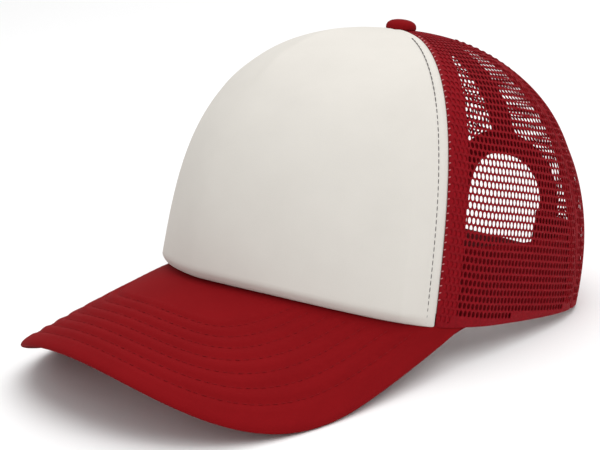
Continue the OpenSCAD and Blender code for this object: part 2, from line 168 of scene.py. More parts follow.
def plan_radius(a, t):
    p = plan_power(a, t)
    lengthwise = (np.abs(cosd(a)) / plan_length(a, t)) ** p
    return (lengthwise + (np.abs(sind(a)) / HALF_WIDTH) ** p) ** (-1 / p)


def rim_plan(a):
    r = plan_radius(a, 0.0)
    return stacked(r * sind(a), -r * cosd(a))


def visor_top(x, y):
    """Height of the visor's top face at a place in plan."""
    out = y + CROWN_FRONT
    side = np.minimum(np.abs(x), BEND_RADIUS * BEND_SHARE)
    return (RIM_FRONT + out * math.tan(math.radians(VISOR_SLOPE)) - VISOR_DIP * (out / DIP_REACH) ** 2
            - BEND_RADIUS + np.sqrt(BEND_RADIUS ** 2 - side ** 2))


def rim_height(a):
    turn = np.abs(a)
    near = rim_plan(np.minimum(turn, VISOR_END_ANGLE))
    low = visor_top(near[..., 0], near[..., 1])
    back = low + (RIM_REAR - low) * smooth((turn - VISOR_END_ANGLE) / (180 - VISOR_END_ANGLE))
    return np.where(turn <= VISOR_END_ANGLE, low, back)


def share_at(a, f):
    """Share of the crown's height that is reached at rise f."""
    return sind(f) ** (2 / blended(HEIGHT_POWER, a))


def puff_at(a, t):
    fade = np.clip((FRONT_ANGLE - np.abs(a)) / PUFF_FADE, 0, 1)
    return np.sqrt(np.minimum(t / PUFF_ONSET, 1)) * np.maximum(1 - t / PUFF_END, 0) * fade


def crown(a, f, out=0.0, puff=0.0):
    """Points of the crown in direction a, at rise f from 0 at the rim to 90 at the top, moved outward."""
    a, f, out = np.broadcast_arrays(np.asarray(a, float), np.asarray(f, float), np.asarray(out, float))
    n, m = blended(WIDTH_POWER, a), blended(HEIGHT_POWER, a)
    w, t = cosd(f) ** (2 / n), share_at(a, f)
    p, r, low = plan_power(a, t), plan_radius(a, t), rim_height(a)
    tall = CROWN_HEIGHT - low
    sideways = n * np.maximum(w, 1e-6) ** (n - 1)
    normal = unit(stacked(
        signed_power(r * sind(a) / HALF_WIDTH, p - 1) / HALF_WIDTH * sideways,
        signed_power(-r * cosd(a) / plan_length(a, t), p - 1) / plan_length(a, t) * sideways,
        m * t ** (m - 1) / tall))
    reach = r * w + puff * puff_at(a, t)
    point = stacked(reach * sind(a), -reach * cosd(a) + BUTTON_SET_BACK * t * t, low + tall * t)
    return point + normal * out[..., None]


def reach_at(a, f):
    """How far the crown lies from its middle, in plan."""
    return np.linalg.norm(crown(a, f)[..., :2], axis=-1)


def rise_at(a, h):
    """The rise at which direction a reaches the height h."""
    low = rim_height(a)
    t = np.maximum(h - low, 0) / (CROWN_HEIGHT - low)
    return np.degrees(np.arcsin(np.minimum(t ** (blended(HEIGHT_POWER, a) / 2), 1)))


def rear_place(x, h):
    """Direction and rise of the back of the crown, x to the side at height h."""
    x, h = np.broadcast_arrays(np.asarray(x, float), np.asarray(h, float))
    a = np.full(x.shape, 170.0)
    for _ in range(8):
        f = rise_at(a, h)
        t = share_at(a, f)
        a = 180 - np.degrees(np.arctan2(np.abs(x), crown(a, f)[..., 1] - BUTTON_SET_BACK * t * t))
    return np.where(x < 0, -a, a), rise_at(a, h)


def rear_point(x, h, out):
    a, f = rear_place(x, h)
    return crown(a, f, out)


def arch_half_width(h):
    share = np.maximum(h - ARCH_FOOT, 0) / (OPENING_HEIGHT - ARCH_FOOT)
    return OPENING_HALF_WIDTH * np.maximum(1 - share ** ARCH_POWER, 0) ** (1 / ARCH_POWER)


# ---- the visor's surface ----

VISOR_TIP = np.array([0.0, -CROWN_FRONT - VISOR_LENGTH])
VISOR_CORNER = np.array([VISOR_HALF_WIDTH, -CROWN_FRONT + 18.0])
VISOR_END = rim_plan(np.array(VISOR_END_ANGLE, float))
FRONT_CURVE = (VISOR_TIP, VISOR_TIP + (50, 0), VISOR_CORNER + (0, -61), VISOR_CORNER)
SIDE_CURVE = (VISOR_CORNER, VISOR_CORNER + (0, 15), VISOR_END + (3, -20), VISOR_END)


def cubic(p, t):
    t = np.asarray(t, float)[..., None]
    return (1 - t) ** 3 * p[0] + 3 * (1 - t) ** 2 * t * p[1] + 3 * (1 - t) * t * t * p[2] + t ** 3 * p[3]


def visor_edge(u):
    """The visor's outer edge in plan at u, from 0 at the middle to 1 at its end."""
    front = cubic(FRONT_CURVE, np.minimum(u / FRONT_SHARE, 1))
    side = cubic(SIDE_CURVE, np.maximum(u - FRONT_SHARE, 0) / (1 - FRONT_SHARE))
    return np.where((u < FRONT_SHARE)[..., None], front, side)


def visor_at(place, out):
    """A point over the plan place, out above the middle of the visor's board."""
    x, y = place[..., 0], place[..., 1]
    side = np.clip(x, -BEND_RADIUS * BEND_SHARE, BEND_RADIUS * BEND_SHARE)
    steep = side / np.sqrt(BEND_RADIUS ** 2 - side ** 2)
    slope = -math.tan(math.radians(VISOR_SLOPE))
    normal = unit(stacked(steep, slope, 1.0))
    point = stacked(x, y, visor_top(x, y))
    return point + normal * (np.asarray(out) - VISOR_HALF - VISOR_DROP)[..., None]


def on_side(place, u):
    """Plan places of the left half, mirrored where u is negative."""
    return stacked(place[..., 0] * np.where(u < 0, -1, 1), place[..., 1])


def visor_place(u, v):
    """Plan place at u across, from -1 to 1, and v out, from 0 under the crown to 1 at the visor's edge."""
    inner = rim_plan(np.abs(u) * VISOR_END_ANGLE)
    inner = inner * (1 - VISOR_TUCK / np.linalg.norm(inner, axis=-1, keepdims=True))
    return on_side(inner + (visor_edge(np.abs(u)) - inner) * np.asarray(v)[..., None], u)


def beside_edge(u, inset):
    """Plan place beside the visor's edge, inset towards the crown."""
    turn = np.abs(u)
    run = visor_edge(np.minimum(turn + 0.01, 1)) - visor_edge(np.maximum(turn - 0.01, 0))
    run = np.where((turn < 0.01)[..., None], np.array([1.0, 0.0]), run)
    away = unit(stacked(-run[..., 1], run[..., 0]))
    return on_side(visor_edge(turn) + away * inset, u)


# ---- standing pose ----

def lowest(points, tip):
    return (points[..., 2] * cosd(tip) - points[..., 1] * sind(tip)).min()


EDGE_POINTS = visor_at(visor_place(np.linspace(0, 1, 41), np.ones(41)), np.full(41, -VISOR_COVER))
REAR_RIM = crown(np.arange(120, 181, 5), 0)


def standing_tip():
    """The angle at which the visor's sides and the rear rim are equally low, by halving."""
    low, high = 0.0, 25.0
    for _ in range(24):
        mid = (low + high) / 2
        if lowest(EDGE_POINTS, mid) < lowest(REAR_RIM, mid):
            low = mid
        else:
            high = mid
    return (low + high) / 2


TIP = standing_tip()
FLOOR = lowest(EDGE_POINTS, TIP)


def tipped_y(points):
    return points[..., 1] * cosd(TIP) + points[..., 2] * sind(TIP)


MIDDLE = (tipped_y(EDGE_POINTS).min() + tipped_y(crown(180, np.arange(0, 61, 2), BINDING_STAND)).max()) / 2


def stand(points):
    """Points of the level cap frame, in millimetres, as points of the row frame, in metres."""
    points = np.asarray(points, float)
    z = points[..., 2] * cosd(TIP) - points[..., 1] * sind(TIP) - FLOOR
    return stacked(points[..., 0], tipped_y(points) - MIDDLE, z) * 0.001


# ---- making meshes ----

def new_object(name, data):
    made = bpy.data.objects.new(name, data)
    bpy.context.scene.collection.objects.link(made)
    return made


def make_mesh(name, points, face_sets, uv, crease):
    """A mesh from points in metres and arrays of faces. Faces that fall together are left out."""
    mesh = bpy.data.meshes.new(name)
    mesh.vertices.add(len(points))
    mesh.vertices.foreach_set("co", np.ascontiguousarray(points, np.float32).ravel())
    loops = np.concatenate([f.ravel() for f in face_sets]).astype(np.int32)
    sizes = np.concatenate([np.full(len(f), f.shape[1]) for f in face_sets])
    starts = np.concatenate([[0], np.cumsum(sizes)[:-1]]).astype(np.int32)
    mesh.loops.add(len(loops))
    mesh.loops.foreach_set("vertex_index", loops)
    mesh.polygons.add(len(sizes))
    mesh.polygons.foreach_set("loop_start", starts)
    layer = mesh.uv_layers.new(name="Cloth")
    layer.data.foreach_set("uv", np.ascontiguousarray(uv[loops], np.float32).ravel())
    mesh.update(calc_edges=True)
    mesh.validate()
    mesh.shade_smooth()
    mesh.set_sharp_from_angle(angle=math.radians(crease))
    return mesh


def piece(name, shape, material, stands_for=(), body="cap", mirror=False, crease=48):
    """A finished piece from a shape: points in the level cap frame, face arrays and places on the cloth."""
    points, faces, uv = shape
    points = np.asarray(points, float)
    if mirror:
        points = points * (-1, 1, 1)
        faces = [f[:, ::-1] for f in faces]
    mesh = make_mesh(name, stand(points), faces, uv, crease)
    mesh.materials.append(material)
    made = new_object(name, mesh)
    if stands_for:
        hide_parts(*stands_for)
    if body:
        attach(made, body)
    return made


def joined(*shapes):
    """Several shapes as one."""
    points, uvs, faces, count = [], [], [], 0
    for p, f, uv in shapes:
        points.append(np.asarray(p, float))
        uvs.append(uv)
        faces += [x + count for x in f]
        count += len(p)
    return np.concatenate(points), faces, np.concatenate(uvs)


def lattice(rows, cols, wrap=False):
    """Quads of a grid of points. With row 0 at the bottom and columns running right, they face the viewer."""
    i, j = np.meshgrid(np.arange(rows - 1), np.arange(cols if wrap else cols - 1), indexing="ij")
    a, b = i * cols + j, i * cols + (j + 1) % cols
    return stacked(a, b, b + cols, a + cols).reshape(-1, 4)


def arc_lengths(points, axis):
    """Running length along one axis of a grid of points."""
    steps = np.linalg.norm(np.diff(points, axis=axis), axis=-1)
    return np.concatenate([np.zeros_like(np.take(steps, [0], axis)), np.cumsum(steps, axis)], axis)


def grid_uv(points):
    """Places on the flat cloth, in millimetres, for a grid of points."""
    across = arc_lengths(points, 1)
    across = across - across[:, across.shape[1] // 2][:, None]
    return stacked(across, arc_lengths(points, 0)).reshape(-1, 2)


def both_sides(outer, inner):
    """The points of two grids, one after the other."""
    return np.concatenate([outer.reshape(-1, 3), inner.reshape(-1, 3)])


def sheet(outer, inner):
    """A closed sheet between two grids of points."""
    rows, cols = outer.shape[:2]
    count = rows * cols
    front = lattice(rows, cols)
    row, col = np.arange(cols - 1), np.arange(rows - 1) * cols
    bottom = stacked(row, row + count, row + count + 1, row + 1)
    top = (bottom + (rows - 1) * cols)[:, ::-1]
    left = stacked(col, col + cols, col + cols + count, col + count)
    right = (left + cols - 1)[:, ::-1]
    uv = grid_uv(outer)
    faces = [front, front[:, ::-1] + count, bottom, top, left, right]
    return both_sides(outer, inner), faces, np.concatenate([uv, uv])


def border_walls(edges, count):
    """Quads from the edges that only one face uses to the same edges of the layer count points on."""
    _, first, uses = np.unique(np.sort(edges, 1), axis=0, return_index=True, return_counts=True)
    a, b = edges[first[uses == 1]].T
    return stacked(b, a, a + count, b + count)


def sweep(sections):
    """A solid through closed sections with the same number of points, given as (stations, points, 3)."""
    stations, k = sections.shape[:2]
    i, j = np.meshgrid(np.arange(stations - 1) * k, np.arange(k), indexing="ij")
    ahead, beside = i + k, (j + 1) % k
    quads = stacked(i + j, ahead + j, ahead + beside, i + beside).reshape(-1, 4)
    along = arc_lengths(sections, 0).mean(1, keepdims=True) + np.zeros((1, k))
    uv = stacked(arc_lengths(sections, 1), along).reshape(-1, 2)
    ends = [np.arange(k)[None], (np.arange(k)[::-1] + (stations - 1) * k)[None]]
    return sections.reshape(-1, 3), [quads] + ends, uv


def resampled(values, s, at):
    """Rows of values that lie at lengths s along a path, read at other lengths."""
    return np.stack([np.interp(at, s, part) for part in values.T], -1)


STITCH_SIDES, STITCH_STATIONS = 6, 7
# Each kind of stitch: its length, the gap to the next, the thread's radius, and how deep its ends dive.
TOP_STITCH = (2.5, 0.35, 0.2, 0.2)
TAPE_STITCH = (2.6, 0.8, 0.2, 0.35)
CROSS_STITCH = (1.0, 0.05, 0.26, 0.15)
BINDING_STITCH = (2.5, 0.8, 0.22, 0.2)
BAND_STITCH = (2.7, 0.9, 0.24, 0.25)
VISOR_STITCH = (2.8, 0.5, 0.17, 0.12)
TACK_STITCH = (1.7, 0.05, 0.2, 0.15)


def stitches(path, normals, kind):
    """Stitches along a path. Each is a short bent rod whose ends dive into the cloth."""
    length, gap, radius, sink = kind
    sides, stations = STITCH_SIDES, STITCH_STATIONS
    s = arc_lengths(path, 0)
    count = max(int(s[-1] // (length + gap)), 1)
    pitch = s[-1] / count
    q = np.linspace(0, 1, stations)
    at = np.arange(count)[:, None] * pitch + (pitch - gap) * q + gap / 2
    centre = resampled(path, s, at)
    normal = unit(resampled(normals, s, at))
    along = unit(np.gradient(centre, axis=1))
    across = unit(np.cross(along, normal))
    rise = np.sin(np.pi * q) ** 0.6
    centre = centre + normal * (rise * (sink + radius * 0.4) - sink)[:, None]
    turn = 2 * np.pi * (np.arange(sides) + 0.5) / sides
    size = (radius * (0.6 + 0.4 * rise))[:, None, None]
    ring = across[:, :, None] * np.cos(turn)[:, None] + normal[:, :, None] * np.sin(turn)[:, None]
    points = centre[:, :, None] + ring * size
    one, caps = lattice(stations, sides, wrap=True), np.stack([np.arange(sides)[::-1], np.arange(sides)])
    caps = caps + np.array([[0], [(stations - 1) * sides]])
    shift = np.arange(count)[:, None, None] * stations * sides
    uv = stacked(turn * radius, at[:, :, None]).reshape(-1, 2)
    faces = [(one[None] + shift).reshape(-1, 4)[:, ::-1], (caps[None] + shift).reshape(-1, sides)[:, ::-1]]
    return points.reshape(-1, 3), faces, uv


def outward(a, f):
    """Outward normals of the crown at the given directions and rises."""
    return unit(crown(a, f, 1.0) - crown(a, f, 0.0))


def crown_stitches(a, f, out, kind):
    """Stitches along a path of the crown that stand outward, or inward if the path lies inside it."""
    out = np.broadcast_to(out, a.shape)
    return stitches(crown(a, f, out), outward(a, f) * np.sign(out)[:, None], kind)


# ---- materials ----

def linear(colour):
    """A colour given as the screen shows it, from 0 to 255, as a linear colour."""
    parts = [c / 255 for c in colour]
    return [p / 12.92 if p <= 0.04045 else ((p + 0.055) / 1.055) ** 2.4 for p in parts] + [1.0]


class Nodes:
    """A material's node tree, with short calls to add to it."""

    def __init__(self, name, roughness, specular):
        self.material = bpy.data.materials.new(name)
        self.material.use_nodes = True
        self.tree = self.material.node_tree
        self.shader = self.tree.nodes["Principled BSDF"]
        self.shader.inputs["Roughness"].default_value = roughness
        self.shader.inputs["Specular IOR Level"].default_value = specular

    def add(self, kind, **settings):
        node = self.tree.nodes.new(kind)
        for key, value in settings.items():
            setattr(node, key, value)
        return node

    def link(self, source, target):
        self.tree.links.new(source, target)

    def cloth_place(self):
        """Places on the flat cloth, in millimetres."""
        return self.add("ShaderNodeUVMap", uv_map="Cloth").outputs["UV"]

    def solid_place(self):
        return self.add("ShaderNodeTexCoord").outputs["Object"]

    def noise(self, place, scale, detail=3.0, roughness=0.5):
        node = self.add("ShaderNodeTexNoise")
        node.inputs["Scale"].default_value = scale
        node.inputs["Detail"].default_value = detail
        node.inputs["Roughness"].default_value = roughness
        self.link(place, node.inputs["Vector"])
        return node.outputs["Fac"]

    def bands(self, place, period, direction, distortion=0.0):
        """Even bands of the given period across the cloth."""
        node = self.add("ShaderNodeTexWave", bands_direction=direction)
        node.inputs["Scale"].default_value = math.pi / (10 * period)
        node.inputs["Distortion"].default_value = distortion
        self.link(place, node.inputs["Vector"])
        return node.outputs["Fac"]

    def maths(self, operation, a, b):
        node = self.add("ShaderNodeMath", operation=operation)
        for socket, value in zip(node.inputs, (a, b)):
            if isinstance(value, (int, float)):
                socket.default_value = value
            else:
                self.link(value, socket)
        return node.outputs[0]

    def between(self, factor, low, high):
        """The base colour runs from low to high with the factor."""
        ramp = self.add("ShaderNodeValToRGB")
        for element, colour, position in zip(ramp.color_ramp.elements, (low, high), (0.25, 0.75)):
            element.color = colour
            element.position = position
        self.link(factor, ramp.inputs["Fac"])
        self.link(ramp.outputs["Color"], self.shader.inputs["Base Color"])

    def bump(self, height, distance_mm):
        node = self.add("ShaderNodeBump")
        node.inputs["Distance"].default_value = distance_mm * 0.001
        self.link(height, node.inputs["Height"])
        self.link(node.outputs["Normal"], self.shader.inputs["Normal"])

    def sheen(self, weight, tint):
        self.shader.inputs["Sheen Weight"].default_value = weight
        self.shader.inputs["Sheen Roughness"].default_value = 0.45
        self.shader.inputs["Sheen Tint"].default_value = tint


CLOTH_SPECULAR = 0.08


def woven(name, dark, light, period, depth, roughness, sheen=0.03, twill=False):
    """A woven cloth of crossing or slanting threads a period apart, raised by depth, uneven in colour."""
    n = Nodes(name, roughness, CLOTH_SPECULAR)
    place = n.cloth_place()
    if twill:
        weave = n.bands(place, period, "DIAGONAL")
    else:
        weave = n.maths("MULTIPLY", n.bands(place, period, "X"), n.bands(place, period, "Y"))
    patches = n.noise(place, 0.035, 4.0, 0.6)
    grain = n.noise(place, 2.2, 2.0)
    mixed = n.maths("ADD", n.maths("MULTIPLY", patches, 0.6), n.maths("MULTIPLY", grain, 0.4))
    n.between(mixed, linear(dark), linear(light))
    n.bump(n.maths("ADD", n.maths("MULTIPLY", weave, 0.6), n.maths("MULTIPLY", grain, 0.6)), depth)
    n.sheen(sheen, linear(light))
    return n.material


def foam_material():
    n = Nodes("foam_backing", 0.95, 0.2)
    place = n.cloth_place()
    cells = n.add("ShaderNodeTexVoronoi")
    cells.inputs["Scale"].default_value = 1.1
    n.link(place, cells.inputs["Vector"])
    n.between(n.noise(place, 0.05), linear((226, 222, 214)), linear((240, 237, 230)))
    n.bump(cells.outputs["Distance"], 0.25)
    return n.material


def net_material():
    n = Nodes("net_polyester", 0.62, CLOTH_SPECULAR)
    place = n.cloth_place()
    fibres = n.bands(place, 0.32, "X", 1.5)
    uneven = n.noise(place, 0.6, 3.0)
    n.between(uneven, linear((124, 10, 20)), linear((144, 15, 27)))
    n.bump(n.maths("ADD", fibres, uneven), 0.09)
    n.sheen(0.04, linear((170, 60, 70)))
    return n.material


def thread_material(name, dark, light):
    n = Nodes(name, 0.8, 0.1)
    place = n.cloth_place()
    n.between(n.noise(place, 1.5), linear(dark), linear(light))
    n.bump(n.bands(place, 0.35, "DIAGONAL"), 0.04)
    return n.material


def plastic_material(name, colour, roughness):
    n = Nodes(name, roughness, 0.45)
    place = n.solid_place()
    base = linear(colour)
    n.between(n.noise(place, 90, 4.0), [c * 0.88 for c in base[:3]] + [1.0], base)
    n.bump(n.noise(place, 2600, 2.0), 0.02)
    return n.material


def metal_material():
    n = Nodes("stamped_metal", 0.38, 0.5)
    n.shader.inputs["Metallic"].default_value = 1.0
    place = n.solid_place()
    n.between(n.noise(place, 300, 4.0), linear((168, 168, 170)), linear((205, 205, 208)))
    n.bump(n.noise(place, 900, 3.0), 0.02)
    return n.material


def threads(name, rows, stands_for=()):
    """Rows of red stitches as one piece."""
    piece(name, joined(*rows), RED_THREAD, stands_for)


WHITE_CLOTH = woven("white_knit", (210, 206, 199), (218, 214, 207), 0.42, 0.03, sheen=0.06, roughness=0.95)
RED_CLOTH = woven("red_twill", (118, 9, 15), (132, 13, 19), 0.5, 0.05, roughness=0.9, twill=True)
BAND_CLOTH = woven("band_twill", (108, 12, 19), (122, 16, 24), 0.6, 0.06, roughness=0.9, twill=True)
TAPE_CLOTH = woven("woven_tape", (134, 15, 25), (150, 20, 30), 0.7, 0.08, roughness=0.85)
FOAM_CLOTH = foam_material()
NET = net_material()
RED_THREAD = thread_material("red_thread", (122, 16, 21), (140, 21, 27))
GREY_THREAD = thread_material("grey_thread", (78, 75, 75), (108, 104, 104))
PALE_THREAD = thread_material("pale_thread", (176, 96, 100), (200, 132, 134))
STRAP_PLASTIC = plastic_material("strap_plastic", (120, 20, 28), 0.42)
BOARD_PLASTIC = plastic_material("board_plastic", (64, 56, 56), 0.5)
METAL = metal_material()


# ---- front panel ----

def crowded_rises(count, last=1.0):
    """Rises from the rim up, closer together near the rim."""
    return 90 * np.linspace(0, last, count) ** 1.35


def rises_by_length(a, first, last, count, fine=()):
    """Rises between first and last, evenly spaced by length up the crown in direction a.
    fine holds extra lengths near the bottom, in millimetres."""
    f = crowded_rises(600)
    s = arc_lengths(crown(a, f), 0)
    start, end = np.interp([first, last], f, s)
    at = np.linspace(start, end, count)
    at = np.unique(np.concatenate([at, start + np.asarray(fine, float)]))
    return np.interp(at, s, f)


def seam_distance(a, f, seam):
    """Length along the crown from direction a to a seam."""
    p, q = crown(a, f), crown(np.sign(a + 1e-9) * seam, f)
    return np.linalg.norm(p - q, axis=-1)


SEAM_ROLL, SEAM_SINK = 1.6, 0.75
STITCH_INSET, STITCH_GROOVE = 5.0, 0.3
CLOTH_WAVE = 0.25
DART_REACH, DART_HEIGHT, DART_START = 8, 2.0, 0.72


def front_relief(a, f):
    """How far the front's cloth stands out from the frame: rolled seams, the stitched groove and the dart."""
    to_seam = seam_distance(a, f, FRONT_ANGLE)
    roll = -SEAM_SINK * np.exp(-(to_seam / SEAM_ROLL) ** 2)
    groove = -STITCH_GROOVE * np.exp(-((to_seam - STITCH_INSET) / 0.7) ** 2) * smooth(f / 3)
    t = share_at(a, f)
    aside = np.abs(crown(a, f)[..., 0])
    dart = DART_HEIGHT * smooth((t - DART_START) / 0.14) * smooth((1 - t) / 0.03)
    ridge = dart * (np.exp(-np.hypot(aside, 0.8) / DART_REACH) - 0.35)
    soft = CLOTH_WAVE * np.sin(np.radians(a) * 5 + 1.2) * np.sin(t * 7.5) * smooth(to_seam / 25)
    return roll + groove + ridge * smooth(to_seam / 12) + soft


def front_shape(depths, cols, rows):
    a = np.linspace(-FRONT_ANGLE + SEAM_GAP, FRONT_ANGLE - SEAM_GAP, cols)
    f = rises_by_length(0, 0, TOP_ANGLE, rows, (0.1, 0.3, 0.6, 1.0, 1.5, 2.1, 2.8, 3.4))
    aa, ff = np.meshgrid(a, f)
    stand_out = front_relief(aa, ff)
    return sheet(*[crown(aa, ff, stand_out - d, FRONT_PUFF) for d in depths])


def make_front():
    allowance = np.array([0.0, 0.4, 0.9, 1.5])
    f = rises_by_length(FRONT_ANGLE, 1, 84, 110)
    cover = front_shape((0, COVER), 210, 120)
    strips = []
    for side in (-1, 1):
        # The seam allowance turns in and lies under the edge of the net.
        width = np.degrees(allowance / reach_at(FRONT_ANGLE, f)[:, None])
        aa = side * (FRONT_ANGLE - 0.5 + width)
        depth = np.array([0.75, 1.0, 1.05, 1.1])[None]
        points, faces, uv = sheet(crown(aa, f[:, None], -depth), crown(aa, f[:, None], -depth - 0.25))
        strips.append((points, [x[:, ::side] for x in faces], uv))
    cloth = piece("front_cover_cloth", joined(cover, *strips), WHITE_CLOTH, ["front_cover"])
    foam = piece("front_foam_pad", front_shape((FOAM_TOP, FOAM_BOTTOM), 120, 80), FOAM_CLOTH,
                 ["front_foam"])


def inset_stitches(side, seam, inset, f, stand_out, kind, puff=0.0):
    """Stitches at a fixed distance beside a seam."""
    a = np.full(f.shape, float(seam))
    for _ in range(6):
        short = inset - seam_distance(a, f, seam) * np.sign(seam - a + 1e-9)
        a = a - np.degrees(short / reach_at(a, f))
    return stitches(crown(side * a, f, stand_out, puff), outward(side * a, f), kind)


def make_topstitching():
    f = rises_by_length(FRONT_ANGLE, 0.02, 77, 260)
    rows = [inset_stitches(side, FRONT_ANGLE, STITCH_INSET, f, -0.25, TOP_STITCH, FRONT_PUFF)
            for side in (-1, 1)]
    piece("front_topstitch_thread", joined(*rows), GREY_THREAD, ["front_topstitching"])


# ---- net panels ----

HOLE_PITCH, ROW_PITCH = 2.3, 3.3
HOLE_HALF = (0.85, 1.36)
NET_THICK = 0.42
STRAND_ROUNDING = 0.12
SOLID_EDGE, SOLID_FOOT = 1.5, 3.2
HEX_SHOULDER = 0.45
NET_TILT = math.radians(5)


class PanelMap:
    """Places flat cloth on the crown. s runs along the row from the panel's middle, v up from the rim."""

    def __init__(self, first, last_at):
        self.first = first
        self.f = crowded_rises(260, TOP_ANGLE / 90)
        self.last = last_at(self.f)
        self.middle = (first + self.last.max()) / 2
        directions = np.linspace(first - 8, self.last.max() + 8, 90)
        grid = crown(directions[None], self.f[:, None])
        s = arc_lengths(grid, 1)
        s = s - np.array([np.interp(self.middle, directions, row) for row in s])[:, None]
        self.v = arc_lengths(crown(self.middle, self.f), 0)
        self.reach = np.abs(s).max()
        self.places = np.linspace(-self.reach, self.reach, 400)
        self.table = np.array([np.interp(self.places, row, directions) for row in s])

    def at(self, s, v):
        """Direction and rise of a place, before it is held inside the panel."""
        i = np.interp(v, self.v, np.arange(len(self.f)))
        j = np.interp(s, self.places, np.arange(len(self.places)))
        i0, j0 = np.minimum(i.astype(int), len(self.f) - 2), np.minimum(j.astype(int), len(self.places) - 2)
        di, dj = i - i0, j - j0
        t = self.table
        a = ((t[i0, j0] * (1 - dj) + t[i0, j0 + 1] * dj) * (1 - di)
             + (t[i0 + 1, j0] * (1 - dj) + t[i0 + 1, j0 + 1] * dj) * di)
        return a, np.interp(v, self.v, self.f)

    def held(self, a, f):
        """A place kept inside the panel's seams."""
        return np.clip(a, self.first + SEAM_GAP, np.interp(f, self.f, self.last) - SEAM_GAP)

    def placed(self, x, y):
        """Direction and rise of places of the tilted net, whether they lie inside the panel, and where
        they lie on its flat cloth."""
        c, d = math.cos(NET_TILT), math.sin(NET_TILT)
        s, v = x * c + y * d, y * c - x * d
        tall = self.v[-1]
        a, f = self.at(s, np.clip(v, 0, tall))
        kept = self.held(a, f)
        return kept, f, (np.abs(kept - a) < 1e-9) & (v > 0) & (v < tall), s, v


def seam_sink(a, f, seam):
    """How far the cloth sinks into a seam that it is sewn into."""
    return -0.45 * np.exp(-(seam_distance(a, f, seam) / 1.3) ** 2)


def net_relief(a, f, seams):
    return sum(seam_sink(a, f, seam) for seam in seams)


def cell_outlines():
    """The twelve points round a cell of the net and the twelve of its oval hole, sideways and up."""
    top = HEX_SHOULDER * 0.5
    low, high = ROW_PITCH / 2 - top, ROW_PITCH / 2 + top
    mid = (low + high) / 2
    x = np.array([0, 0.5, 1, 1, 1, 0.5, 0, -0.5, -1, -1, -1, -0.5]) * (HOLE_PITCH / 2)
    y = np.array([-high, -mid, -low, 0, low, mid, high, mid, low, 0, -low, -mid])
    angle = np.arctan2(y / HOLE_HALF[1], x / HOLE_HALF[0])
    return x, y, HOLE_HALF[0] * np.cos(angle), HOLE_HALF[1] * np.sin(angle)


def cell_centres(panel):
    """Centres of more than enough cells to cover the panel, in staggered rows."""
    rows = np.arange(-12, int(panel.v[-1] / ROW_PITCH) + 14)
    cols = np.arange(-int(panel.reach / HOLE_PITCH) - 12, int(panel.reach / HOLE_PITCH) + 13)
    jj, ii = np.meshgrid(rows, cols, indexing="ij")
    return ((ii + 0.5 * (jj % 2)) * HOLE_PITCH).ravel(), (jj * ROW_PITCH).ravel()


def net_shape(panel, seams):
    """A net of oval holes in staggered rows. Each hole's cell has twelve points round it,
    which it shares with its neighbours, and the strands are rounded by sinking the hole's rim."""
    corner_x, corner_y, hole_x, hole_y = cell_outlines()
    cx, cy = cell_centres(panel)
    ring_x, ring_y = cx[:, None] + corner_x, cy[:, None] + corner_y
    a, f, inside, s, v = panel.placed(ring_x, ring_y)
    centre_a, centre_f, centre_in, _, centre_v = panel.placed(cx, cy)
    used = inside.any(1)
    clear = np.min([seam_distance(centre_a, centre_f, seam) for seam in seams], 0) > SOLID_EDGE
    holed = centre_in & clear & (centre_v > SOLID_FOOT) & inside.all(1)
    # Corners of neighbouring cells that fall together become one point.
    keys = np.round(stacked(ring_x, ring_y)[used].reshape(-1, 2) * 200).astype(int)
    _, index, corners = np.unique(keys, axis=0, return_index=True, return_inverse=True)
    corners = corners.reshape(-1, 12)
    ca, cf, cs, cv = [x[used].reshape(-1)[index] for x in (a, f, s, v)]
    uv = stacked(cs, cv)
    relief = net_relief(ca, cf, seams)
    shared = [crown(ca, cf, relief), crown(ca, cf, relief - NET_THICK)]
    n_shared = len(ca)
    hole_cells = corners[holed[used]]
    hx, hy = cx[holed][:, None] + hole_x, cy[holed][:, None] + hole_y
    ha, hf, _, hs, hv = panel.placed(hx, hy)
    hole_relief = net_relief(ha, hf, seams)
    rims = [crown(ha, hf, hole_relief - STRAND_ROUNDING).reshape(-1, 3),
            crown(ha, hf, hole_relief - NET_THICK + STRAND_ROUNDING).reshape(-1, 3)]
    hole_uv = stacked(hs, hv).reshape(-1, 2)
    solid = used & ~holed
    solid_cells = corners[solid[used]]
    middles = [p[solid_cells].mean(1) for p in shared]
    solid_uv = uv[solid_cells].mean(1)

    one_side = n_shared + len(rims[0]) + len(middles[0])
    rim_index = n_shared + np.arange(len(rims[0])).reshape(-1, 12)
    middle_index = n_shared + len(rims[0]) + np.arange(len(middles[0]))
    nxt = np.roll(np.arange(12), -1)
    strands = stacked(hole_cells, hole_cells[:, nxt], rim_index[:, nxt], rim_index).reshape(-1, 4)
    centre = np.repeat(middle_index[:, None], 12, 1)
    fills = stacked(solid_cells, solid_cells[:, nxt], centre).reshape(-1, 3)
    walls = stacked(rim_index, rim_index[:, nxt], rim_index[:, nxt] + one_side, rim_index + one_side)
    edges = np.concatenate([stacked(c, c[:, nxt]).reshape(-1, 2) for c in (hole_cells, solid_cells)])
    border = border_walls(edges, one_side)
    points = np.concatenate([shared[0], rims[0], middles[0], shared[1], rims[1], middles[1]])
    side_uv = np.concatenate([uv, hole_uv, solid_uv])
    faces = [strands, fills, strands[:, ::-1] + one_side, fills[:, ::-1] + one_side,
             walls.reshape(-1, 4), border]
    return points, [real_faces(points, x) for x in faces], np.concatenate([side_uv, side_uv])


def real_faces(points, faces):
    """The triangles or quads that have some area."""
    p = points[faces]
    area = np.linalg.norm(np.cross(p[:, -2] - p[:, 0], p[:, -1] - p[:, -3]), axis=1)
    return faces[area > 2e-3]


